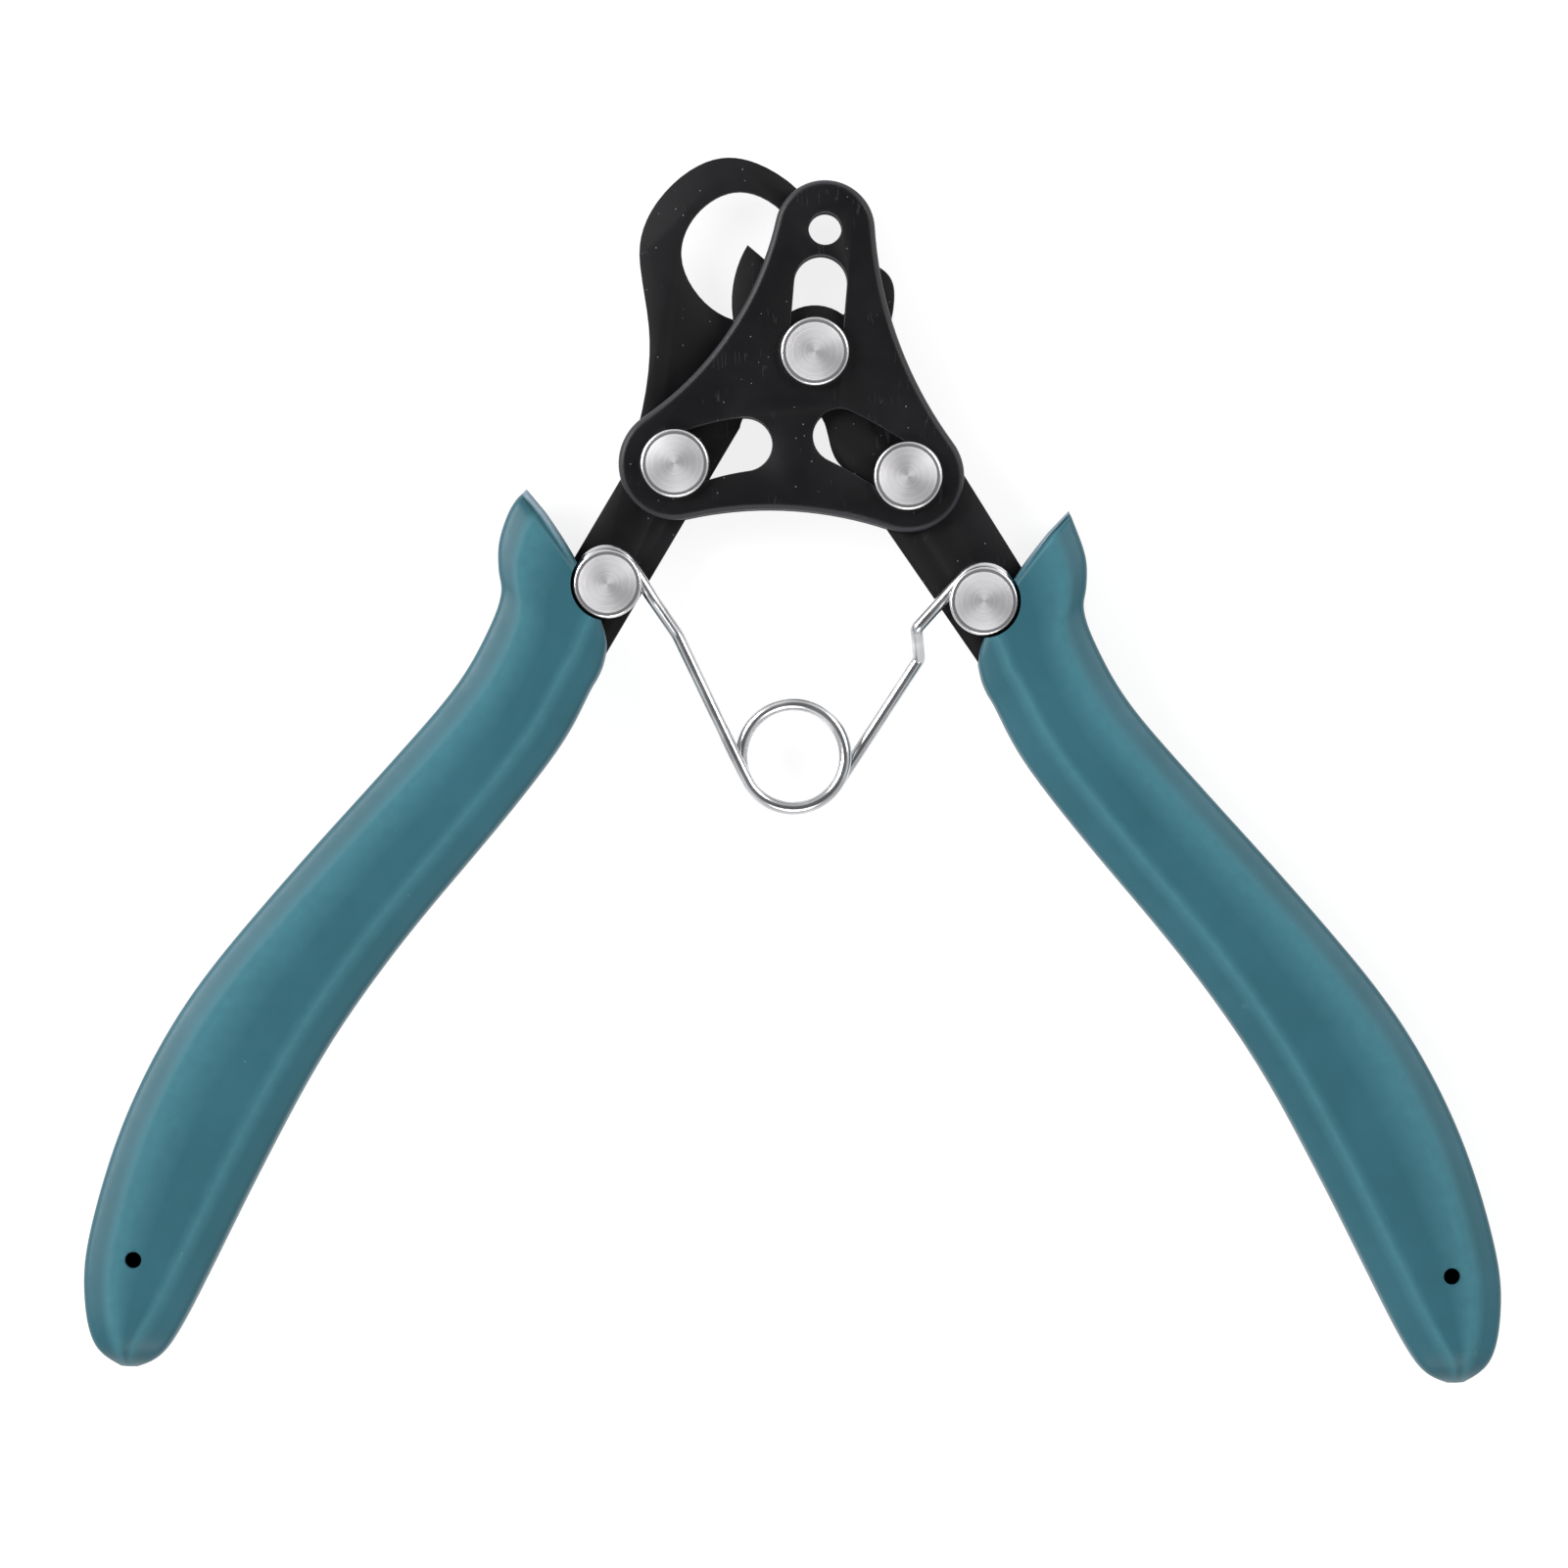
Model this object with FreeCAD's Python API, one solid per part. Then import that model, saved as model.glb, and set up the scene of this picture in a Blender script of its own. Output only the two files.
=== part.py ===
"""Wire-looping crimping pliers, lying flat as they rest on a bench.

Millimetres. X runs across the handles, Y from the grips towards the jaws, Z up through the
thickness. The tool is laid out around the centre pin, and moved at the end so that the middle
of its box is over the origin with its underside at Z = 0.
"""
import FreeCAD
import Part
import math
import os

V = FreeCAD.Vector

# Pins, as (x, y) from the centre pin, with the handles open
centre_pin = (0.0, 0.0)
left_guide_pin = (-17.9, -14.3)
right_guide_pin = (11.9, -15.9)
left_spring_pin = (-26.5, -29.7)
right_spring_pin = (21.6, -31.9)

# Motion of the head, in degrees of the left handle
closing_angle = 16.0        # swing of the left handle from open to closed
right_swing_ratio = 1.12    # the right handle swings this much further
slot_angle = 26.5           # the slots would let the left handle swing this far
pin_rise = 9.0              # rise of the centre pin in its slot over slot_angle
plate_lean = 4.75           # lean of the slot and the plates' own axis, towards +X

# Thickness, built outwards from the middle plane
lever_thickness = 2.4
plate_thickness = 2.0
layer_gap = 0.05            # between two flat pieces that slide on each other
grip_thickness = 12.6

# Pins
head_radius = 4.4
head_thickness = 1.5
head_bevel = 0.3
centre_shaft_radius = 3.3
guide_shaft_radius = 2.4
rivet_radius = 1.6          # the reduced end that carries each pin's back cap
spring_neck_radius = 1.5
shoulder_radius = 3.4
running_clearance = 0.05
spacer_radius = 4.0

# Head plates
upper_lobe_radius = 6.4
lower_lobe_radius = 7.2
upper_lobe_height = 15.6    # along the leaning axis, from the open centre pin
wire_hole_height = 15.8
wire_hole_radius = 2.1
centre_slot_clearance = 0.08
centre_slot_half_width = centre_shaft_radius + centre_slot_clearance
guide_slot_half_width = 3.45
guide_slot_arch = 0.7       # the guide slots arch this far above the pins' own path
left_flank_radius = 42.0
right_flank_radius = 52.0
lower_flank_radius = 48.0
plate_rim_radius = 0.9      # rounding of each plate's outer rim

# Levers
boss_radius = 6.0
tang_half_width = 3.4

# Grips
grip_chamfer = 0.6
head_relief = 0.5           # room that a grip leaves around the head of its spring pin
grip_mirror_x = -2.85       # the right grip is the left one mirrored about this line
right_grip_drop = 2.1       # and this much lower
locating_hole = (-87.0, -116.0)
locating_hole_radius = 1.05
tang_end_past_hole = 3.0

# Spring
wire_radius = 0.8
coil_centre = (-2.75, -51.7)
coil_radius = 6.7           # to the middle of the wire
coil_gap = 0.4              # between turns, which close up as the legs wind the coil
full_turns = 2              # and the part of a turn that brings the coil round to the right leg
hook_inset = 0.15           # the hook's outside is this far inside the edge of the head above it
hook_radius = head_radius - hook_inset - wire_radius
hook_offset = 0.85          # the hook's centre is this far from the pin, away from the coil
hook_head_gap = 0.1
hook_wrap = 270.0           # degrees of wire bent round each spring pin


# The levels of the flat layers, up from the middle plane
lever_top = layer_gap / 2 + lever_thickness
plate_bottom = lever_top + layer_gap
plate_top = plate_bottom + plate_thickness
head_bottom = plate_top + layer_gap
head_top = head_bottom + head_thickness
hook_level = head_bottom - hook_head_gap - wire_radius


def turned(point, degrees):
    """A point turned about the centre pin, anticlockwise seen from above."""
    a = math.radians(degrees)
    x, y = point
    return (x * math.cos(a) - y * math.sin(a), x * math.sin(a) + y * math.cos(a))


def slide(distance):
    """A move along the plates' leaning axis."""
    a = math.radians(plate_lean)
    return (distance * math.sin(a), distance * math.cos(a))


def added(a, b):
    return (a[0] + b[0], a[1] + b[1])


def taken(a, b):
    return (a[0] - b[0], a[1] - b[1])


def length(a):
    return math.hypot(a[0], a[1])


def at(point, z=0.0):
    return V(point[0], point[1], z)


def mirrored(point):
    """A point of the left grip as it lies in the right one."""
    return (2 * grip_mirror_x - point[0], point[1] - right_grip_drop)


def pin_path(pin, angle, side):
    """Where a guide pin is in the plates when the left handle has swung by angle.
    side is 1 for the left handle and -1 for the right one."""
    swing = angle if side > 0 else -angle * right_swing_ratio
    return added(turned(pin, swing), slide(pin_rise * angle / slot_angle))


def line(a, b):
    return Part.LineSegment(at(a), at(b)).toShape()


def curve(*points):
    spline = Part.BSplineCurve()
    spline.interpolate([at(p) for p in points])
    return spline.toShape()


def closed_curve(points):
    spline = Part.BSplineCurve()
    spline.interpolate([at(p) for p in points], PeriodicFlag=True)
    return spline.toShape()


def slab(edges, low, high):
    """A flat piece between two levels, from the edges of its outline."""
    face = Part.Face(Part.Wire(edges))
    face.translate(V(0, 0, low))
    return face.extrude(V(0, 0, high - low))


def level_edges(body, level):
    """The edges of a piece that lie in one level."""
    return [e for e in body.Edges if abs(e.BoundBox.ZMin - level) < 1e-3 and e.BoundBox.ZLength < 1e-3]


def disc(point, radius, low, high):
    return Part.makeCylinder(radius, high - low, at(point, low))


def slot(start, middle, end, half_width, low, high):
    """A slot with round ends along the arc through three points."""
    arc = Part.Arc(at(start), at(middle), at(end)).toShape().Curve
    centre = arc.Center
    outer = [V(p).sub(centre) for p in (at(start), at(middle), at(end))]
    sides = []
    for grow in (half_width, -half_width):
        scale = (arc.Radius + grow) / arc.Radius
        a, b, c = [centre.add(V(v).multiply(scale)) for v in outer]
        sides.append((a, b, c))
    (a1, b1, c1), (a2, b2, c2) = sides
    ahead = V(c1.sub(c2)).normalize().cross(V(0, 0, 1)).multiply(half_width)
    back = V(a1.sub(a2)).normalize().cross(V(0, 0, 1)).multiply(half_width)
    if ahead.dot(at(end).sub(at(middle))) < 0:
        ahead.multiply(-1)
    if back.dot(at(start).sub(at(middle))) < 0:
        back.multiply(-1)
    edges = [
        Part.Arc(a1, b1, c1).toShape(),
        Part.Arc(c1, at(end).add(ahead), c2).toShape(),
        Part.Arc(c2, b2, a2).toShape(),
        Part.Arc(a2, at(start).add(back), a1).toShape(),
    ]
    return slab(edges, low, high)


def straight_slot(start, end, half_width, low, high):
    """A slot with round ends along a straight line."""
    along = V(at(end).sub(at(start))).normalize().multiply(half_width)
    across = V(-along.y, along.x, 0)
    a, b = at(start), at(end)
    edges = [
        Part.LineSegment(a.add(across), b.add(across)).toShape(),
        Part.Arc(b.add(across), b.add(along), b.sub(across)).toShape(),
        Part.LineSegment(b.sub(across), a.sub(across)).toShape(),
        Part.Arc(a.sub(across), a.sub(along), a.add(across)).toShape(),
    ]
    return slab(edges, low, high)


def hollow_flank(c1, r1, c2, r2, flank, side):
    """The hollow arc that touches two lobes from outside, as its start, middle and end.
    side is 1 where the arc lies to the left on the way from the first lobe to the second."""
    d = length(taken(c2, c1))
    a = ((r1 + flank) ** 2 - (r2 + flank) ** 2 + d * d) / (2 * d)
    h = math.sqrt((r1 + flank) ** 2 - a * a)
    ux, uy = (c2[0] - c1[0]) / d, (c2[1] - c1[1]) / d
    centre = (c1[0] + a * ux - side * h * uy, c1[1] + a * uy + side * h * ux)

    def towards(p):
        v = taken(p, centre)
        scale = flank / length(v)
        return (centre[0] + v[0] * scale, centre[1] + v[1] * scale)

    start, end = towards(c1), towards(c2)
    return start, towards(added(c1, (a * ux, a * uy))), end


def lobe(start, centre, radius, end, middle):
    """A lobe's outer arc, from one flank to the next round the side away from the plate's middle."""
    out = taken(centre, middle)
    scale = radius / length(out)
    far = (centre[0] + out[0] * scale, centre[1] + out[1] * scale)
    return Part.Arc(at(start), at(far), at(end)).toShape()


def plate(low, high, rounded_top):
    """A head plate, with its centre slot, two guide slots and wire hole."""
    top = slide(upper_lobe_height)
    lobes = [(top, upper_lobe_radius)]
    lobes += [(pin, lower_lobe_radius) for pin in (left_guide_pin, right_guide_pin)]
    flanks = (left_flank_radius, lower_flank_radius, right_flank_radius)
    arcs = []
    for i in range(3):
        (c1, r1), (c2, r2) = lobes[i], lobes[(i + 1) % 3]
        arcs.append(hollow_flank(c1, r1, c2, r2, flanks[i], -1))
    middle = tuple(sum(centre[i] for centre, radius in lobes) / 3 for i in range(2))
    edges = []
    for i in range(3):
        start, waist, end = arcs[i]
        edges.append(Part.Arc(at(start), at(waist), at(end)).toShape())
        centre, radius = lobes[(i + 1) % 3]
        edges.append(lobe(end, centre, radius, arcs[(i + 1) % 3][0], middle))
    body = slab(edges, low, high)
    body = body.makeFillet(plate_rim_radius, level_edges(body, high if rounded_top else low))
    cuts = [
        straight_slot(centre_pin, slide(pin_rise), centre_slot_half_width, low, high),
        disc(slide(wire_hole_height), wire_hole_radius, low, high),
    ]
    for pin, side in ((left_guide_pin, 1), (right_guide_pin, -1)):
        middle = added(pin_path(pin, slot_angle / 2, side), (0, guide_slot_arch))
        end = pin_path(pin, slot_angle, side)
        cuts.append(slot(pin, middle, end, guide_slot_half_width, low, high))
    return body.cut(Part.Compound(cuts))


# The path down the middle of the left tang, from the blade to beyond the locating hole
tang_path = [(-29.0, -34.5), (-36.5, -45.5), (-53.0, -64.0), (-69.0, -83.5), (-80.0, -103.0)]


def tang(mirror, low, high):
    """The narrow steel strip that a grip is moulded on."""
    down = taken(locating_hole, tang_path[-1])
    scale = 1 + tang_end_past_hole / length(down)
    points = tang_path + [locating_hole, (tang_path[-1][0] + down[0] * scale,
                                          tang_path[-1][1] + down[1] * scale)]
    if mirror:
        points = [mirrored(p) for p in points]
    middle = Part.BSplineCurve()
    middle.interpolate([at(p) for p in points])
    sides = {1: [], -1: []}
    for p in points:
        along = middle.tangent(middle.parameter(at(p)))[0]
        for s in sides:
            sides[s].append((p[0] - s * along.y * tang_half_width, p[1] + s * along.x * tang_half_width))
    edges = [
        curve(*sides[1]),
        line(sides[1][-1], sides[-1][-1]),
        curve(*reversed(sides[-1])),
        line(sides[-1][0], sides[1][0]),
    ]
    return slab(edges, low, high)


def hook_blade(low, high):
    """The left blade: an arm with an open ring at its end and a short anvil beside the centre pin."""
    edges = [
        line((-33.0, -30.0), (-24.4, -15.4)),
        curve((-24.4, -15.4), (-21.9, -6.2), (-21.2, 2.3), (-22.1, 9.0), (-22.4, 14.0),
              (-18.7, 21.1), (-11.3, 25.0), (-4.9, 23.0), (-2.2, 20.9)),
        curve((-2.2, 20.9), (-1.9, 18.8), (-3.6, 17.4)),
        curve((-3.6, 17.4), (-6.0, 19.5), (-9.6, 20.6), (-14.6, 18.3), (-17.1, 12.6),
              (-15.4, 8.0), (-12.2, 5.0), (-9.0, 4.0), (-6.2, 4.4), (-4.0, 4.6)),
        Part.Arc(at((-4.0, 4.6)), at((0.0, boss_radius)), at((3.6, 4.8))).toShape(),
        curve((3.6, 4.8), (4.6, 7.6), (5.4, 10.2), (7.0, 11.2), (8.5, 10.8), (9.9, 9.2),
              (10.2, 6.8), (9.8, 4.0), (7.8, -1.0), (3.8, -5.0), (-1.0, -6.2), (-5.6, -6.2),
              (-8.6, -7.6), (-9.6, -9.6)),
        line((-9.6, -9.6), (-27.6, -40.0)),
        line((-27.6, -40.0), (-33.0, -30.0)),
    ]
    return slab(edges, low, high)


def jaw_blade(low, high):
    """The right blade: an arm that crosses the centre pin and ends in a pointed jaw."""
    edges = [
        line((21.8, -41.0), (3.9, -15.0)),
        curve((3.9, -15.0), (2.0, -12.0), (0.9, -8.4), (-2.2, -6.2), (-6.6, -3.4),
              (-9.6, 1.0), (-10.6, 7.4), (-8.6, 13.7)),
        line((-8.6, 13.7), (-4.6, 10.3)),
        curve((-4.6, 10.3), (-3.6, 7.4), (-3.6, 4.8)),
        Part.Arc(at((-3.6, 4.8)), at((0.0, boss_radius)), at((3.6, 4.8))).toShape(),
        curve((3.6, 4.8), (6.2, 0.4), (9.4, -3.8), (14.0, -8.6), (18.7, -15.1)),
        line((18.7, -15.1), (28.6, -31.0)),
        line((28.6, -31.0), (21.8, -41.0)),
    ]
    return slab(edges, low, high)


def lever(blade, guide, spring_pin, mirror, low, high):
    """A steel lever: its blade and tang in one, with holes for its three pins."""
    body = blade(low, high).fuse(tang(mirror, low, high)).removeSplitter()
    holes = [
        disc(centre_pin, centre_shaft_radius + running_clearance, low, high),
        disc(guide, guide_shaft_radius, low, high),
        disc(spring_pin, rivet_radius, low, high),
    ]
    return body.cut(Part.Compound(holes))


# The left grip, clockwise from the tip of its thumb guard
grip_outline = [
    (-36.6, -17.5), (-38.2, -18.6), (-39.7, -21.6), (-40.6, -25.8), (-40.0, -30.6), (-45.9, -42.8),
    (-54.5, -52.8), (-68.0, -67.8), (-80.2, -82.8), (-88.2, -97.8), (-92.8, -112.8), (-93.5, -121.0),
    (-92.4, -127.3), (-87.4, -129.9), (-82.9, -128.2), (-77.4, -117.8), (-67.4, -97.8), (-58.4, -82.8),
    (-46.4, -67.8), (-34.1, -52.8), (-28.7, -43.2), (-26.5, -36.6), (-28.2, -32.0), (-31.0, -25.6),
    (-34.9, -18.4),
]


def grip(mirror, spring_pin, blank, tang_top):
    """A moulded grip round its tang, with a relief for the spring pin and a locating hole
    down to the steel."""
    points = [mirrored(p) for p in grip_outline] if mirror else grip_outline
    half = grip_thickness / 2
    body = slab([closed_curve(points)], -half, half)
    body = body.makeChamfer(grip_chamfer, level_edges(body, -half) + level_edges(body, half))
    hole = mirrored(locating_hole) if mirror else locating_hole
    relief = disc(spring_pin, head_radius + head_relief, -half, half)
    body = body.cut(relief)
    body = body.cut(blank)
    return body.cut(disc(hole, locating_hole_radius, tang_top, half))


def bevelled_head(point, radius, low, high, top):
    """A round head with its outer corner bevelled, on the top or the underside."""
    head = disc(point, radius, low, high)
    return head.makeChamfer(head_bevel, level_edges(head, high if top else low))


def through_pin(point, shaft_radius):
    """A pin through the whole head, with its riveted end reduced for the back cap."""
    head = bevelled_head(point, head_radius, head_bottom, head_top, True)
    shaft = disc(point, shaft_radius, -head_bottom, head_bottom)
    rivet = disc(point, rivet_radius, -head_top, -head_bottom)
    return head.fuse([shaft, rivet]).removeSplitter()


def back_cap(point, radius, low, high):
    """The cap pressed on a pin's riveted end."""
    return bevelled_head(point, radius, low, high, False).cut(disc(point, rivet_radius, low, high))


def spring_pin(point, lever_low, lever_high):
    """A headed pin with a shoulder under the spring's hook, riveted in one lever."""
    shoulder_top = hook_level - wire_radius - layer_gap
    head = bevelled_head(point, head_radius, head_bottom, head_top, True)
    neck = disc(point, spring_neck_radius, shoulder_top, head_bottom)
    shoulder = disc(point, shoulder_radius, lever_high, shoulder_top)
    rivet = disc(point, rivet_radius, lever_low - head_thickness, lever_high)
    return head.fuse([neck, shoulder, rivet]).removeSplitter()


def spacer(point, low, high):
    """The washer that keeps the plates apart beside a single lever."""
    ring = disc(point, spacer_radius, low, high)
    return ring.cut(disc(point, guide_shaft_radius + running_clearance, low, high))


def rod(a, b):
    """A straight run of spring wire, with a ball at each end to round the bend there."""
    along = b.sub(a)
    run = Part.makeCylinder(wire_radius, along.Length, a, along)
    return [run] + [Part.makeSphere(wire_radius, p) for p in (a, b)]


def ring_part(centre, radius, start, sweep):
    """Spring wire bent to part of a circle in a level plane, from start through sweep degrees."""
    a = math.radians(start)
    outwards = V(math.cos(a), math.sin(a), 0)
    along = V(-math.sin(a), math.cos(a), 0)
    circle = Part.Circle(centre.add(V(outwards).multiply(radius)), along, wire_radius)
    return Part.Face(Part.Wire(circle.toShape())).revolve(centre, V(0, 0, 1), sweep)


def coil_tangent(jog, side):
    """The angle on the coil at which the leg from a jog meets it, anticlockwise turns."""
    v = taken(jog, coil_centre)
    spread = math.degrees(math.acos(coil_radius / length(v)))
    return math.degrees(math.atan2(v[1], v[0])) + side * spread


def half_sweep():
    """How many degrees of wire are in each half of the coil."""
    between = (coil_tangent(right_jog[1], -1) - coil_tangent(left_jog[1], 1)) % 360.0
    return (full_turns * 360.0 + between) / 2


def half_coil(start, sweep, high, low):
    """A helix of spring wire going down anticlockwise from start."""
    drop = high - low
    helix = Part.makeLongHelix(drop * 360.0 / sweep, drop, coil_radius, 0, True)
    a = helix.Edges[0].Curve.value(helix.Edges[0].FirstParameter)
    circle = Part.Circle(a, helix.Edges[0].tangentAt(helix.Edges[0].FirstParameter), wire_radius)
    pipe = helix.makePipeShell([Part.Wire(circle.toShape())], True, True)
    pipe.rotate(V(0, 0, 0), V(0, 0, 1), -start)
    pipe.rotate(V(0, 0, 0), V(1, 0, 0), 180)
    pipe.translate(at(coil_centre, high))
    return pipe


# Where each leg steps up from the coil's level to its hook's level, nearer the pin first
left_jog = [(-20.7, -31.6), (-17.4, -36.4)]
right_jog = [(13.0, -35.4), (13.4, -39.2)]


def spring_half(pin, jog, side, high, low):
    """Half of the spring: the hook round a pin, a leg with its step, and half of the coil.
    The coil's halves meet face to face in the middle plane."""
    level = high if side > 0 else low
    tangent = coil_tangent(jog[1], side)
    a = math.radians(tangent)
    foot = added(coil_centre, (coil_radius * math.cos(a), coil_radius * math.sin(a)))
    hook_centre = added(pin, (0.0, hook_offset))
    v = taken(jog[0], hook_centre)
    spread = math.acos(hook_radius / length(v))
    leave = math.atan2(v[1], v[0]) + side * spread
    off = added(hook_centre, (hook_radius * math.cos(leave), hook_radius * math.sin(leave)))
    hook = ring_part(at(hook_centre, hook_level), hook_radius, math.degrees(leave), side * hook_wrap)
    pieces = rod(at(off, hook_level), at(jog[0], hook_level))
    pieces += rod(at(jog[0], hook_level), at(jog[1], level))
    pieces += rod(at(jog[1], level), at(foot, level))
    sweep = half_sweep()
    start = tangent if side > 0 else tangent - sweep
    pieces.append(half_coil(start, sweep, high, low))
    body = hook
    for piece in pieces:
        body = body.fuse(piece)
    return body


def spring_pose(angle):
    """The coil's centre in the plates' frame, and each leg's swing, at an angle of the left handle."""
    rise = slide(pin_rise * angle / slot_angle)
    left = added(turned(left_spring_pin, angle), rise)
    right = added(turned(right_spring_pin, -angle * right_swing_ratio), rise)
    left_leg = length(taken(coil_centre, left_spring_pin))
    right_leg = length(taken(coil_centre, right_spring_pin))
    d = length(taken(right, left))
    a = (left_leg ** 2 - right_leg ** 2 + d * d) / (2 * d)
    h = math.sqrt(left_leg ** 2 - a * a)
    ux, uy = (right[0] - left[0]) / d, (right[1] - left[1]) / d
    centre = (left[0] + a * ux + h * uy, left[1] + a * uy - h * ux)
    swings = []
    for pin, moved in ((left_spring_pin, left), (right_spring_pin, right)):
        before = taken(coil_centre, pin)
        after = taken(centre, moved)
        swings.append(math.degrees(math.atan2(after[1], after[0]) - math.atan2(before[1], before[0])))
    return centre, swings


def make_nodes():
    """Every sub-part by name, around the centre pin and the middle plane."""
    left_low, left_high = -lever_top, -layer_gap / 2
    right_low, right_high = layer_gap / 2, lever_top
    coil_top = half_sweep() / 360.0 * (2 * wire_radius + coil_gap)
    hook_lever = lever(hook_blade, left_guide_pin, left_spring_pin, False, left_low, left_high)
    jaw_lever = lever(jaw_blade, right_guide_pin, right_spring_pin, True, right_low, right_high)
    left_blank = hook_blade(left_low, left_high).fuse(tang(False, left_low, left_high))
    right_blank = jaw_blade(right_low, right_high).fuse(tang(True, right_low, right_high))
    nodes = {
        "front_plate": plate(plate_bottom, plate_top, True),
        "back_plate": plate(-plate_top, -plate_bottom, False),
        "hook_lever": hook_lever,
        "jaw_lever": jaw_lever,
        "left_grip": grip(False, left_spring_pin, left_blank, left_high),
        "right_grip": grip(True, right_spring_pin, right_blank, right_high),
        "centre_pin": through_pin(centre_pin, centre_shaft_radius),
        "left_guide_pin": through_pin(left_guide_pin, guide_shaft_radius),
        "right_guide_pin": through_pin(right_guide_pin, guide_shaft_radius),
        "left_guide_spacer": spacer(left_guide_pin, right_low, right_high),
        "right_guide_spacer": spacer(right_guide_pin, left_low, left_high),
        "left_spring_pin": spring_pin(left_spring_pin, left_low, left_high),
        "right_spring_pin": spring_pin(right_spring_pin, right_low, right_high),
        "spring_left_half": spring_half(left_spring_pin, left_jog, 1, coil_top, 0.0),
        "spring_right_half": spring_half(right_spring_pin, right_jog, -1, 0.0, -coil_top),
    }
    for name, point in (("centre_pin", centre_pin), ("left_guide_pin", left_guide_pin),
                        ("right_guide_pin", right_guide_pin)):
        nodes[name + "_cap"] = back_cap(point, head_radius, -head_top, -head_bottom)
    for name, point, lever_low in (("left_spring_pin", left_spring_pin, left_low),
                                   ("right_spring_pin", right_spring_pin, right_low)):
        nodes[name + "_cap"] = back_cap(point, shoulder_radius, lever_low - head_thickness, lever_low)
    return nodes


def main():
    nodes = make_nodes()
    box = FreeCAD.BoundBox()
    for shape in nodes.values():
        box.add(shape.optimalBoundingBox(False))
    shift = V(-box.Center.x, -box.Center.y, grip_thickness / 2)
    os.makedirs("parts", exist_ok=True)
    for name, shape in nodes.items():
        shape.translate(shift)
        shape.exportStep("parts/" + name + ".step")
        print(name, len(shape.Solids), "solid", round(shape.Volume, 1), "mm3", shape.isValid())
    print("box", round(box.XLength, 2), round(box.YLength, 2), round(box.ZLength, 2))
    centre, swings = spring_pose(closing_angle)
    print("closed at", closing_angle, "coil at", centre, "legs swing", swings)
    return nodes, shift


if __name__ == "__main__":
    main()
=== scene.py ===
import math
import bmesh
import bpy
from mathutils import Matrix, Vector


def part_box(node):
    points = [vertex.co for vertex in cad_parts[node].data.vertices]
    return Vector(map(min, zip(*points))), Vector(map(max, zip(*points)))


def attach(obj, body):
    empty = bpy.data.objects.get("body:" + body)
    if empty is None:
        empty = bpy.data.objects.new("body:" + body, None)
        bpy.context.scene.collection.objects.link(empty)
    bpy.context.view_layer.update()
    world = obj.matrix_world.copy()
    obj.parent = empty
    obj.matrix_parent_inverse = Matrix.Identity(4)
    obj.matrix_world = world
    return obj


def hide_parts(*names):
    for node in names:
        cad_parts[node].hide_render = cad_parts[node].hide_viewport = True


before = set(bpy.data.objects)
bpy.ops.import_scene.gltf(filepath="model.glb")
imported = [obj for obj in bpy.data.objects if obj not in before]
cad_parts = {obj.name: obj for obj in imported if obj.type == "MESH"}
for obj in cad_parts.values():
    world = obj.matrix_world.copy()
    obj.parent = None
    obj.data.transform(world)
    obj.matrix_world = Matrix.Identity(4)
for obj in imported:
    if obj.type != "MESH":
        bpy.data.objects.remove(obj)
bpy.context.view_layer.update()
print("frame loaded with", len(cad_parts), "nodes")

# Everything below is laid out in millimetres from the centre pin and the tool's middle plane
mm = 0.001
pinLow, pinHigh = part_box("centre_pin")
gripLow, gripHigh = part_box("left_grip")
origin = Vector(((pinLow.x + pinHigh.x) / 2, (pinLow.y + pinHigh.y) / 2, (gripLow.z + gripHigh.z) / 2))


def place(x, y, z=0.0):
    return origin + Vector((x, y, z)) * mm


def middleOf(node):
    low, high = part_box(node)
    return (low + high) / 2


def levelOf(node, top=True):
    low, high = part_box(node)
    return ((high if top else low).z - origin.z) / mm      # in millimetres from the middle plane


def makeObject(name, mesh):
    piece = bpy.data.objects.new(name, mesh)
    bpy.context.scene.collection.objects.link(piece)
    return piece


def closeMesh(work, name, sharpAngle=40.0):
    bmesh.ops.remove_doubles(work, verts=work.verts, dist=1e-7)
    bmesh.ops.recalc_face_normals(work, faces=work.faces)
    mesh = bpy.data.meshes.new(name)
    work.to_mesh(mesh)
    work.free()
    mesh.shade_smooth()
    mesh.set_sharp_from_angle(angle=math.radians(sharpAngle))
    return makeObject(name, mesh)


def applyModifiers(piece):
    graph = bpy.context.evaluated_depsgraph_get()
    graph.update()
    mesh = bpy.data.meshes.new_from_object(piece.evaluated_get(graph))
    piece.modifiers.clear()
    piece.data = mesh
    return piece


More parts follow.
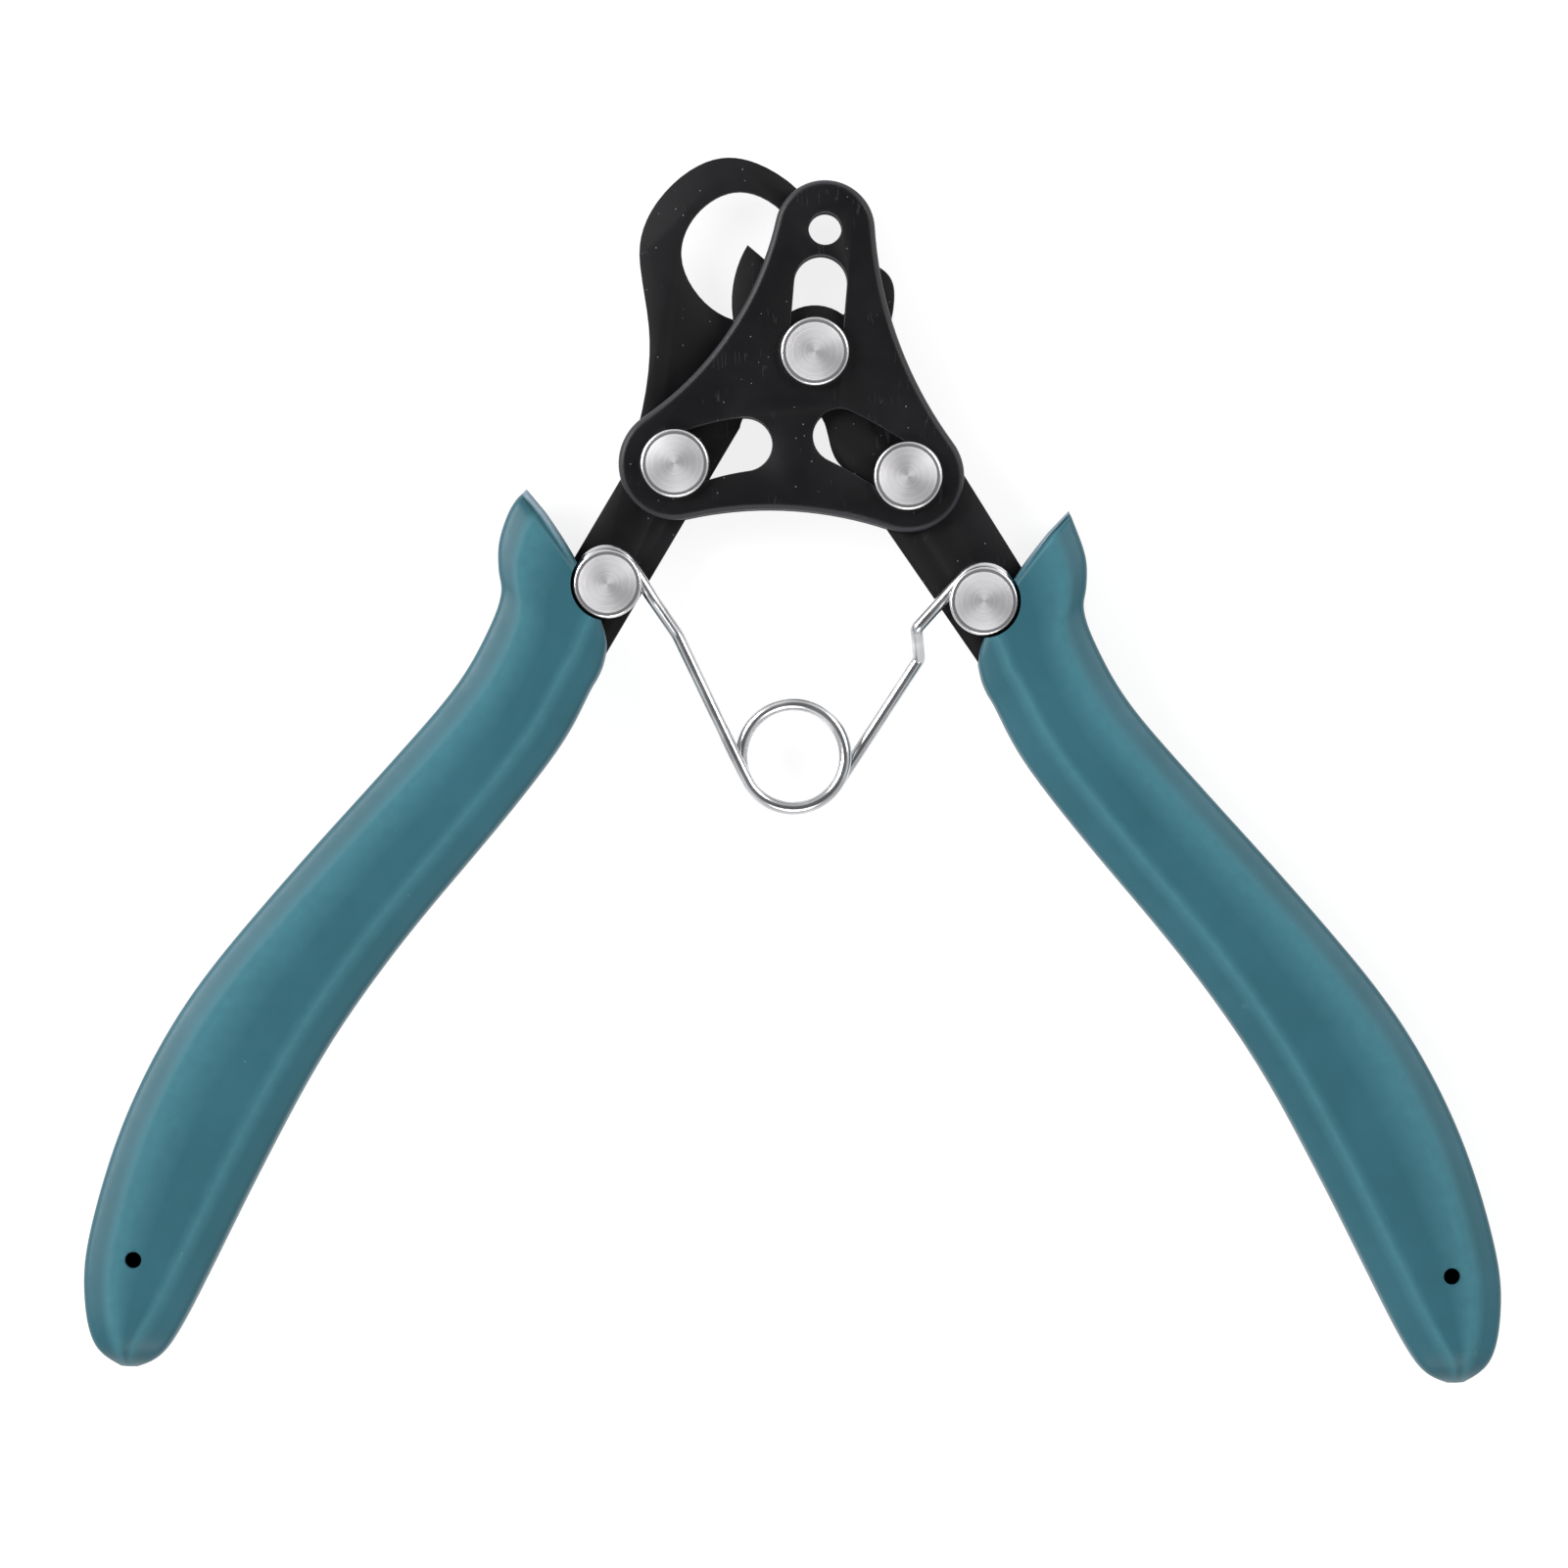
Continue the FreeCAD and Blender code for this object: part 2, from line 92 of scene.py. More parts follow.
class Flow:                                                # a socket that can be used in a sum
    def __init__(self, tree, socket=None):
        self.tree = tree
        self.socket = socket

    def node(self, kind, settings=None, inputs=None, output=0):
        made = self.tree.nodes.new("ShaderNode" + kind)
        for name, value in (settings or {}).items():
            setattr(made, name, value)
        for name, value in (inputs or {}).items():
            if isinstance(value, Flow):
                self.tree.links.new(value.socket, made.inputs[name])
            else:
                made.inputs[name].default_value = value
        return Flow(self.tree, made.outputs[output])

    def other(self, output):                               # another output of the same node
        return Flow(self.tree, self.socket.node.outputs[output])

    def sum(self, operation, first, second):
        return self.node("Math", {"operation": operation}, {0: first, 1: second})

    def __add__(self, other):
        return self.sum("ADD", self, other)

    def __radd__(self, other):
        return self.sum("ADD", other, self)

    def __sub__(self, other):
        return self.sum("SUBTRACT", self, other)

    def __rsub__(self, other):
        return self.sum("SUBTRACT", other, self)

    def __mul__(self, other):
        return self.sum("MULTIPLY", self, other)

    def __rmul__(self, other):
        return self.sum("MULTIPLY", other, self)

    def __abs__(self):
        return self.sum("ABSOLUTE", self, 0.0)

    def __lt__(self, other):
        return self.sum("LESS_THAN", self, other)


def fade(flow, low, high):                                 # 0 at low, 1 at high, soft between
    return flow.node("MapRange", {"interpolation_type": "SMOOTHSTEP"},
                     {"Value": flow, "From Min": low, "From Max": high})


def noise(at, scale, detail=2.0, roughness=0.5):
    return at.node("TexNoise", None, {
        "Vector": at, "Scale": scale, "Detail": detail, "Roughness": roughness,
    })


def mixColour(flow, mask, first, second):
    made = flow.tree.nodes.new("ShaderNodeMix")
    made.data_type = "RGBA"
    for socket, value in ((made.inputs[0], mask), (made.inputs[6], first), (made.inputs[7], second)):
        if isinstance(value, Flow):
            flow.tree.links.new(value.socket, socket)
        else:
            socket.default_value = value
    return Flow(flow.tree, made.outputs[2])


def startMaterial(name, centre=None):
    material = bpy.data.materials.new(name)
    material.use_nodes = True
    tree = material.node_tree
    shader = tree.nodes["Principled BSDF"]
    flow = Flow(tree)
    at = flow.node("TexCoord", output=3)
    if centre is not None:
        at = flow.node("VectorMath", {"operation": "SUBTRACT"}, {0: at, 1: centre})
    return material, shader, flow, at


def feed(shader, flow, values):
    for name, value in values.items():
        if isinstance(value, Flow):
            flow.tree.links.new(value.socket, shader.inputs[name])
        else:
            shader.inputs[name].default_value = value


def addBump(flow, shader, height, depth, strength=1.0):
    bump = flow.node("Bump", None, {"Height": height, "Strength": strength, "Distance": depth})
    flow.tree.links.new(bump.socket, shader.inputs["Normal"])


def specks(at, spacing, size, share):                      # scattered dots, spacing and size in metres
    cells = {"Vector": at, "Scale": 1 / spacing, "Randomness": 1.0}
    near = at.node("TexVoronoi", None, cells) < size / spacing
    pick = at.node("SeparateColor", None, {"Color": at.node("TexVoronoi", None, cells, output=1)})
    return near * (pick < share)


def hairlines(at, size, width, share, turn):               # fine straight scratches, in patches
    lean = at.node("Mapping", None, {"Vector": at, "Rotation": (0, 0, turn), "Scale": (1.0, 0.12, 1.0)})
    waves = noise(lean, 1 / size, 0.0)
    patches = noise(at, 0.22 / size, 1.0, 0.5)
    return (abs(waves - 0.5) < width) * fade(patches, 1 - share, 1.04 - share)


steel = {
    "colour": (0.0026, 0.0026, 0.0032, 1), "worn": (0.005, 0.005, 0.006, 1),
    "dust": (0.16, 0.16, 0.17, 1), "dustSpacing": 0.0011, "dustSize": 0.00008, "dustShare": 0.45,
    # rim is a painted highlight: the lighter colour laid on rounded edges
    "scratch": (0.035, 0.035, 0.038, 1), "rim": (0.03, 0.03, 0.034, 1), "gloss": 0.2,
    # roughness, and the width across a scratch's wave in metres, on each finish
    "plate": ("plate_black", 0.34, 0.0007), "lever": ("lever_black", 0.42, 0.0009),
}


def blackSteel(name, roughness, hairSize):
    material, shader, flow, at = startMaterial(name)
    cloud = noise(at, 90.0, 3.0, 0.6)
    colour = mixColour(flow, fade(cloud, 0.4, 0.75), steel["colour"], steel["worn"])
    scratch = hairlines(at, hairSize, 0.014, 0.36, 0.7) + hairlines(at, 1.4 * hairSize, 0.01, 0.34, -0.5)
    colour = mixColour(flow, scratch * 0.4, colour, steel["scratch"])
    dots = specks(at, steel["dustSpacing"], steel["dustSize"], steel["dustShare"])
    colour = mixColour(flow, dots, colour, steel["dust"])
    facing = abs(flow.node("SeparateXYZ", None, {"Vector": flow.node("TexCoord", output=1)}).other(2))
    # painted highlight: lighter where edges are rounded, between the flat faces and the walls
    rim = (1 - fade(facing, 0.8, 0.97)) * fade(facing, 0.15, 0.5)
    colour = mixColour(flow, rim, colour, steel["rim"])
    grain = noise(at, 5200.0, 2.0, 0.6)
    feed(shader, flow, {
        "Base Color": colour, "Roughness": roughness + 0.12 * cloud - 0.1 * scratch,
        "Specular IOR Level": steel["gloss"],
    })
    addBump(flow, shader, grain + 2.0 * dots - 1.5 * scratch, 0.000012, 0.5)
    return material


turned = {
    # the face's colour, and the lighter colour mixed in for the painted highlight wedges, the tone bands and
    # the rim
    "colour": (0.42, 0.41, 0.42, 1), "bright": (0.74, 0.73, 0.74, 1),
    "ring": 0.0002, "rimWidth": 0.0001,                    # metres, one tool mark and the start of the rim
}


def turnedSteelAndHighlight(name, centre, faceRadius, lean):
    # lathe-faced steel: fine rings round the centre, and soft wedges of painted highlight, lighter in the
    # colour where the rings would catch the light
    material, shader, flow, at = startMaterial(name, centre)
    apart = flow.node("SeparateXYZ", None, {"Vector": at})
    x, y = apart, apart.other(1)
    flat = flow.node("CombineXYZ", None, {"X": x, "Y": y})
    radius = flow.node("VectorMath", {"operation": "LENGTH"}, {0: flat}).other(1)
    angle = flow.sum("ARCTAN2", y, x)
    rings = flow.sum("SINE", radius * (math.tau / turned["ring"]) + 3.0 * noise(at, 500.0), 0.0)
    wedge = flow.sum("COSINE", 2.0 * angle - 2.0 * lean, 0.0)
    patch = noise(at, 420.0, 3.0, 0.6)
    band = noise(flow.node("CombineXYZ", None, {"X": radius * 9.0}), 700.0, 2.0)
    rim = fade(radius, faceRadius - turned["rimWidth"], faceRadius)
    # painted highlight: the wedge term lightens two opposite sectors of the face; band and patch are the
    # face's own tone
    light = 0.5 + 0.26 * wedge + 0.9 * (band - 0.5) + 0.25 * (patch - 0.5)
    light = fade(light, 0.1, 0.9)
    colour = mixColour(flow, light, turned["colour"], turned["bright"])
    colour = mixColour(flow, rim * 0.6, colour, turned["bright"])
    feed(shader, flow, {
        "Base Color": colour, "Metallic": 1.0,
        "Roughness": 0.42 + 0.08 * band - 0.2 * rim,
    })
    addBump(flow, shader, rings * (1 - rim) + 0.8 * patch, 0.000006, 0.35)
    return material


drawn = {"dull": (0.5, 0.5, 0.51, 1), "bright": (0.82, 0.82, 0.83, 1)}


def drawnWire():
    material, shader, flow, at = startMaterial("bright_drawn_wire")
    streak = noise(at, 900.0, 2.0, 0.6)
    cloud = noise(at, 160.0, 2.0, 0.5)
    colour = mixColour(flow, fade(cloud, 0.35, 0.7), drawn["dull"], drawn["bright"])
    feed(shader, flow, {"Base Color": colour, "Metallic": 1.0, "Roughness": 0.14 + 0.12 * streak})
    addBump(flow, shader, streak, 0.00001, 0.3)
    return material


plastic = {
    "colour": (0.013, 0.081, 0.109, 1), "deep": (0.0095, 0.071, 0.094, 1),
    # the lighter teal of the painted highlight along the creases
    "ridgeHighlight": (0.032, 0.145, 0.178, 1),
    "lip": (0.2, 0.25, 0.3, 1), "scuff": (0.12, 0.24, 0.28, 1),
}


def gripPlastic():
    material, shader, flow, at = startMaterial("moulded_grip_plastic")
    ridgeHighlight = flow.node("Attribute", {"attribute_name": "ridgeHighlight"}, output=2)
    lip = flow.node("Attribute", {"attribute_name": "lip"}, output=2)
    cloud = noise(at, 60.0, 3.0, 0.6)
    mottle = noise(at, 700.0, 3.0, 0.65)
    colour = mixColour(flow, fade(cloud, 0.35, 0.7), plastic["deep"], plastic["colour"])
    # painted highlight: the creases are mixed towards a lighter teal, mottled
    colour = mixColour(flow, ridgeHighlight * (0.3 + 0.5 * mottle), colour, plastic["ridgeHighlight"])
    colour = mixColour(flow, lip * 0.7, colour, plastic["lip"])
    dots = specks(at, 0.0026, 0.00009, 0.25)
    scratch = hairlines(at, 0.0007, 0.01, 0.3, 0.35)
    colour = mixColour(flow, dots * 0.5 + scratch * 0.12, colour, plastic["scuff"])
    grain = noise(at, 3300.0, 3.0, 0.6)
    feed(shader, flow, {
        "Base Color": colour, "Roughness": 0.4 + 0.14 * mottle + 0.1 * ridgeHighlight, "Specular IOR Level": 0.4,
    })
    addBump(flow, shader, grain + 0.8 * mottle + 1.5 * dots, 0.00002, 0.45)
    return material


grips = {
    # matching points down the outer and the inner side, from the mouth to the end
    "outer": [(-36.9, -17.5), (-38.9, -19.9), (-40.4, -24.2), (-40.45, -28.0), (-40.1, -30.8),
              (-41.6, -35.2), (-45.9, -42.8), (-54.5, -52.8), (-68.0, -67.8), (-80.2, -82.8),
              (-88.2, -97.8), (-92.8, -112.8), (-93.4, -121.0), (-92.1, -127.0), (-88.9, -129.7)],
    "inner": [(-26.9, -35.6), (-26.6, -37.4), (-26.8, -38.9), (-27.2, -40.4), (-27.9, -41.9),
              (-28.8, -43.4), (-32.4, -50.2), (-40.4, -60.6), (-52.6, -75.2), (-62.4, -89.0),
              (-70.4, -103.6), (-76.9, -116.6), (-80.8, -124.2), (-83.6, -128.3), (-86.6, -129.8)],
    "mirrorX": -2.85, "rightDrop": 2.1,                    # the right grip is mirrored, and lower
    "rightTip": (-38.2, -18.2),                            # its guard's tip, before it is mirrored
    # the section's edges, as distance in from the side and drop below the top
    "outerEdge": [(0.0, 2.6), (0.1, 1.6), (0.38, 1.02), (0.95, 0.74), (2.2, 0.4), (3.4, 0.07),
                  (3.85, 0.0)],
    "innerEdge": [(4.9, 0.0), (4.4, 0.06), (2.7, 0.4), (0.95, 0.78), (0.38, 1.05), (0.1, 1.6),
                  (0.0, 2.6)],
    "outerRidge": (3.0, 4.5), "innerRidge": (4.0, 4.6),    # where each crease gets its painted highlight
    "snugWidth": 9.8,                                      # the edges shrink where the grip is narrower
    # rings near the mouth: place along the grip, drop all round, and drop of the lip
    "mouthSteps": [(0.0, 1.1, 0.7), (0.1, 0.3, 1.0), (0.3, 0.0, 1.15), (0.4, 0.0, 1.6),
                   (0.5, 0.0, 0.25), (0.68, 0.0, 0.0)],
    "mouthBow": 1.3, "lipEnd": 0.5, "stepsPerSpan": 3, "endRound": 1.7,
    "relief": 4.7, "holeRadius": 1.05, "hole": (-87.0, -116.0), "cutHeight": 9.0, "cutSides": 96,
    "endInset": 0.35, "smoothLevels": 2, "sharpAngle": 38,
}


def along(points, u):                                      # a smooth curve through the points
    i = min(int(u), len(points) - 2)
    t = u - i
    a, b, c, d = [Vector(points[min(max(j, 0), len(points) - 1)]) for j in (i - 1, i, i + 1, i + 2)]
    bend = (2 * a - 5 * b + 4 * c - d) * t * t
    twist = (3 * b - a - 3 * c + d) * t ** 3
    return 0.5 * (2 * b + (c - a) * t + bend + twist)


def gripRing(outer, inner, u, drop, step, bow):
    # one section: from the outer side over the top to the inner side, and back underneath
    a, b = along(outer, u), along(inner, u)
    wide = (b - a).length
    across = (b - a) / wide
    forward = Vector((-across.y, across.x)) * (1 if across.x > 0 else -1)
    snug = min(1.0, wide / grips["snugWidth"])
    # the third value marks the creases that get a painted highlight
    side = []
    for d, h in grips["outerEdge"]:
        side.append((d * snug, h, 1.0 if grips["outerRidge"][0] < d < grips["outerRidge"][1] else 0.0))
    side.append((wide / 2 - 0.3, 0.0, 0.0))
    for d, h in grips["innerEdge"]:
        onRidge = grips["innerRidge"][0] < d < grips["innerRidge"][1]
        side.append((wide - d * snug, h, 1.0 if onRidge else 0.0))
    top = []
    for d, h, ridgeHighlight in side:
        t = d / wide
        lip = max(0.0, min(1.0, (grips["lipEnd"] - t) / 0.12))
        spot = a + across * d + forward * (bow * math.sin(math.pi * t))
        height = levelOf("left_grip") - h - drop - step * lip
        top.append((spot, height, ridgeHighlight, lip if step > 0.5 and u < 0.35 else 0.0))
    return top


def nextVert(vert, fresh):                                 # the new vertex pulled out of an old one
    return next(e.other_vert(vert) for e in vert.link_edges if e.other_vert(vert) in fresh)


def makeGrip(name, node, pinNode, mirrored):
    outer, inner = list(grips["outer"]), list(grips["inner"])
    if mirrored:
        outer[0] = grips["rightTip"]
    steps = list(grips["mouthSteps"])
    last = len(outer) - 1
    count = grips["stepsPerSpan"]
    for i in range(count, last * count + 1):
        u = i / count
        steps.append((u, grips["endRound"] * max(0.0, u - (last - 1.6)) ** 2, 0.0))
    work = bmesh.new()
    ridgeHighlightLayer = work.verts.layers.float.new("ridgeHighlight")
    lipLayer = work.verts.layers.float.new("lip")
    ring = None
    for u, drop, step in steps:
        bow = grips["mouthBow"] * max(0.0, 1 - u / 2.5)
        top = gripRing(outer, inner, u, drop, step, bow)
        section = [(spot, height, ridgeHighlight, lip) for spot, height, ridgeHighlight, lip in top]
        section += [(spot, -height, ridgeHighlight, lip) for spot, height, ridgeHighlight, lip in reversed(top)]
        if ring is None:
            made = bmesh.ops.create_circle(work, segments=len(section), radius=1.0)
            ring = made["verts"]
        else:
            loop = set(ring)
            edges = [e for e in work.edges if e.verts[0] in loop and e.verts[1] in loop]
            made = bmesh.ops.extrude_edge_only(work, edges=edges)
            fresh = {v for v in made["geom"] if isinstance(v, bmesh.types.BMVert)}
            ring = [nextVert(v, fresh) for v in ring]
        for vert, (spot, height, ridgeHighlight, lip) in zip(ring, section):
            x, y = spot
            if mirrored:
                x, y = 2 * grips["mirrorX"] - x, y - grips["rightDrop"]
            vert.co = place(x, y, height)
            vert[ridgeHighlightLayer] = ridgeHighlight
            vert[lipLayer] = lip
    return closeGripEnds(work, name, node, pinNode, mirrored)


def closeGripEnds(work, name, node, pinNode, mirrored):
    rims = [e for e in work.edges if e.is_boundary]
    rim = {v for e in rims for v in e.verts}
    mouthY = max(v.co.y for v in rim)
    mouth, end = [], []
    for e in rims:
        (mouth if e.verts[0].co.y > mouthY - 0.03 else end).append(e)
    for edges in (mouth, end):
        # the two upright edges join the top row to the bottom row
        rows = [e for e in edges if abs(e.verts[0].co.z - e.verts[1].co.z) < 0.004]
        made = bmesh.ops.bridge_loops(work, edges=rows)
        bmesh.ops.inset_region(work, faces=made["faces"], thickness=grips["endInset"] * mm,
                               use_even_offset=True)
    grip = closeMesh(work, name)
    smooth = grip.modifiers.new("smooth", "SUBSURF")
    smooth.levels = smooth.render_levels = grips["smoothLevels"]
    applyModifiers(grip)
    cutGrip(grip, pinNode, mirrored)
    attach(grip, "right_handle" if mirrored else "left_handle")
    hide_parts(node)
    return grip


def cutGrip(grip, pinNode, mirrored):
    # room for the spring pin's head, and the locating hole down to the steel
    x, y = grips["hole"]
    if mirrored:
        x, y = 2 * grips["mirrorX"] - x, y - grips["rightDrop"]
    pin = middleOf(pinNode)
    bottom = levelOf("jaw_lever" if mirrored else "hook_lever")
    cutter = bmesh.new()
    high = grips["cutHeight"]
    cuts = [(pin, grips["relief"], -high), (place(x, y), grips["holeRadius"], bottom)]
    for centre, radius, low in cuts:
        spot = Matrix.Translation((centre.x, centre.y, origin.z + (low + high) / 2 * mm))
        bmesh.ops.create_cone(cutter, cap_ends=True, segments=grips["cutSides"], radius1=radius * mm,
                              radius2=radius * mm, depth=(high - low) * mm, matrix=spot)
    tool = closeMesh(cutter, grip.name + "_cutter")
    cut = grip.modifiers.new("cut", "BOOLEAN")
    cut.operation = "DIFFERENCE"
    cut.solver = "EXACT"
    cut.object = tool
    applyModifiers(grip)
    bpy.data.objects.remove(tool)
    grip.data.shade_smooth()
    grip.data.set_sharp_from_angle(angle=math.radians(grips["sharpAngle"]))


pins = {
    # headed pins: the handle they ride on, shaft radius, the lean of the light wedges on the face
    "centre_pin": ("pivot", 3.3, 1.2),
    "left_guide_pin": ("left_handle", 2.4, 1.9),
    "right_guide_pin": ("right_handle", 2.4, 0.6),
    "left_spring_pin": ("left_handle", None, 0.9),
    "right_spring_pin": ("right_handle", None, 1.5),
    "head": 4.4, "headBottom": 4.525, "face": 3.78, "rivet": 1.6, "neck": 1.5, "shoulder": 3.4,
    "shoulderTop": 2.775, "rivetBevel": 0.15, "shoulderBevel": 0.2, "segments": 96,
    "capRim": 0.3, "capLean": 0.8, "washerFace": 4.0, "washerLean": 0.4,
}


def pinProfile(node, shaft):
    head, face, bottom = pins["head"], pins["face"], pins["headBottom"]
    top = levelOf(node)
    tail = levelOf(node, False)
    # flat face, fine groove, raised rim and the head's side, from the middle of the face outwards
    edge = [(0.0, top), (face - 0.14, top), (face, top - 0.05), (face + 0.08, top - 0.03),
            (head - 0.28, top - 0.04), (head - 0.1, top - 0.13), (head, top - 0.34),
            (head, bottom + 0.16), (head - 0.06, bottom + 0.05), (head - 0.18, bottom)]
    rivet, bevel = pins["rivet"], pins["rivetBevel"]
    end = [(rivet, tail + bevel), (rivet - bevel, tail), (0.0, tail)]
    if shaft:
        return edge + [(shaft, bottom), (shaft, -bottom), (rivet, -bottom)] + end
    steelTop = levelOf("jaw_lever" if "right" in node else "hook_lever")
    neck, shoulder, shelf, ease = (pins[key] for key in ("neck", "shoulder", "shoulderTop", "shoulderBevel"))
    step = [(neck, bottom), (neck, shelf), (shoulder - ease, shelf), (shoulder, shelf - ease)]
    return edge + step + [(shoulder, steelTop), (rivet, steelTop)] + end


def makePin(node):
    body, shaft, lean = pins[node]
    centre = middleOf(node)
    work = bmesh.new()
    row = []
    for radius, height in pinProfile(node, shaft):
        row.append(work.verts.new((centre.x + radius * mm, centre.y, origin.z + height * mm)))
    edges = [work.edges.new(pair) for pair in zip(row, row[1:])]
    bmesh.ops.spin(work, geom=row + edges, cent=(centre.x, centre.y, 0), axis=(0, 0, 1), angle=math.tau,
                   steps=pins["segments"], use_merge=True)
    pin = closeMesh(work, node + "_turned", 50)
    middle = (centre.x, centre.y, 0)
    pin.data.materials.append(turnedSteelAndHighlight(node + "_steel", middle, pins["face"] * mm, lean))
    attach(pin, body)
    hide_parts(node)


def faceOff(node, faceRadius, lean):
    # a cap or washer keeps its CAD shape and gets a turned finish with painted highlight wedges
    middle = middleOf(node)
    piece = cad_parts[node]
    piece.data.materials.clear()
    piece.data.materials.append(turnedSteelAndHighlight(node + "_steel", (middle.x, middle.y, 0), faceRadius, lean))


spring = {
    "wire": 0.8, "coilCentre": (-2.75, -51.7), "coilRadius": 6.7, "coilTop": 2.3373, "coilSweep": 420.72,
    "hookRadius": 3.45, "hookOffset": 0.85, "hookWrap": 270.0, "hookLevel": 3.625,
    "leftJog": [(-20.7, -31.6), (-17.5, -36.3)], "rightJog": [(13.0, -35.4), (13.4, -39.2)],
    "bendRoom": 1.1, "arcStep": 12.0, "ring": 6, "sharpAngle": 60,
}


def onCoil(angle, height):
    return Vector((math.cos(angle) * spring["coilRadius"], math.sin(angle) * spring["coilRadius"], height))


def springPath(pinNode, jog, side):
    # from the hook's end, round the pin, down the leg and its step, and round half of the coil
    centre = (middleOf(pinNode) - origin) / mm
    hook = Vector((centre.x, centre.y + spring["hookOffset"], spring["hookLevel"]))
    coil = Vector((spring["coilCentre"][0], spring["coilCentre"][1], 0))
    level = side * spring["coilTop"]
    near, far = Vector((*jog[0], spring["hookLevel"])), Vector((*jog[1], level))
    away = near - hook
    leave = math.atan2(away.y, away.x) + side * math.acos(spring["hookRadius"] / away.xy.length)
    count = int(spring["hookWrap"] / spring["arcStep"])
    points = []
    for i in range(count, -1, -1):
        a = leave + side * math.radians(spring["hookWrap"]) * i / count
        points.append(hook + Vector((math.cos(a), math.sin(a), 0)) * spring["hookRadius"])
    out = far - coil
    meet = math.atan2(out.y, out.x) + side * math.acos(spring["coilRadius"] / out.xy.length)
    foot = coil + onCoil(meet, level)
    corners = [points[-1], near, far, foot]
    for before, here, after in zip(corners, corners[1:], corners[2:]):
        room = spring["bendRoom"]
        points.append(here + (before - here).normalized() * room)
        points.append(here)
        points.append(here + (after - here).normalized() * room)
    count = int(spring["coilSweep"] / spring["arcStep"])
    for i in range(count + 1):
        a = meet + side * math.radians(spring["coilSweep"]) * i / count
        z = level * (1 - i / count)
        points.append(coil + onCoil(a, z))
    return [origin + p * mm for p in points]


def makeSpring(node, pinNode, jog, side, body):
    curve = bpy.data.curves.new(node, "CURVE")
    curve.dimensions = "3D"
    line = curve.splines.new("NURBS")
    points = springPath(pinNode, jog, side)
    line.points.add(len(points) - 1)
    for spot, point in zip(line.points, points):
        spot.co = (*point, 1.0)
    line.order_u = 3
    line.use_endpoint_u = True
    line.resolution_u = 3
    curve.bevel_depth = spring["wire"] * mm
    curve.bevel_resolution = spring["ring"]
    curve.use_fill_caps = True
    rope = bpy.data.objects.new(node + "_curve", curve)
    bpy.context.scene.collection.objects.link(rope)
    graph = bpy.context.evaluated_depsgraph_get()
    graph.update()
    mesh = bpy.data.meshes.new_from_object(rope.evaluated_get(graph))
    bpy.data.objects.remove(rope)
    work = bmesh.new()
    work.from_mesh(mesh)
    wire = closeMesh(work, node + "_wire", spring["sharpAngle"])
    wire.data.materials.append(wireSteel)
    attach(wire, body)
    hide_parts(node)


flats = {
    # the body each rides on, its finish, and the width of its broken corners
    "front_plate": ("head", "black_steel", 0.12),
    "back_plate": ("head", "black_steel", 0.12),
    "hook_lever": ("left_handle", "lever_steel", 0.16),
    "jaw_lever": ("right_handle", "lever_steel", 0.16),
}


def makeFlat(node, material):
    # the CAD shape with its sharp corners broken
    body, slotName, width = flats[node]
    work = bmesh.new()
    work.from_mesh(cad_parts[node].data)
    bmesh.ops.remove_doubles(work, verts=work.verts, dist=1e-6)
    bmesh.ops.dissolve_limit(work, angle_limit=math.radians(0.6), verts=work.verts, edges=work.edges)
    paired = [e for e in work.edges if len(e.link_faces) == 2]
    corners = [e for e in paired if e.calc_face_angle(0) > math.radians(60)]
    level = [e for e in corners if abs(e.verts[0].co.z - e.verts[1].co.z) < 1e-6]
    bmesh.ops.bevel(work, geom=level, offset=width * mm, offset_type="OFFSET", segments=2, profile=0.5,
                    affect="EDGES", material=-1, clamp_overlap=True)
    flat = closeMesh(work, node + "_eased", 35)
    flat.data.materials.append(material)
    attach(flat, body)
    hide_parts(node)


plateSteel = blackSteel(*steel["plate"])
leverSteel = blackSteel(*steel["lever"])
for node in flats:
    makeFlat(node, plateSteel if "plate" in node else leverSteel)
print("plates and levers eased")

wireSteel = drawnWire()
makeSpring("spring_left_half", "left_spring_pin", spring["leftJog"], 1, "spring_left")
makeSpring("spring_right_half", "right_spring_pin", spring["rightJog"], -1, "spring_right")
print("spring wound")

for node in ("centre_pin", "left_guide_pin", "right_guide_pin", "left_spring_pin", "right_spring_pin"):
    makePin(node)
    low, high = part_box(node + "_cap")
    faceOff(node + "_cap", (high.x - low.x) / 2 - pins["capRim"] * mm, pins["capLean"])
for node in ("left_guide_spacer", "right_guide_spacer"):
    faceOff(node, pins["washerFace"] * mm, pins["washerLean"])
print("pins turned")

gripMaterial = gripPlastic()
for name, node, pinNode, mirrored in (("left_moulded_grip", "left_grip", "left_spring_pin", False),
                                      ("right_moulded_grip", "right_grip", "right_spring_pin", True)):
    grip = makeGrip(name, node, pinNode, mirrored)
    grip.data.materials.clear()
    grip.data.materials.append(gripMaterial)
print("grips moulded")


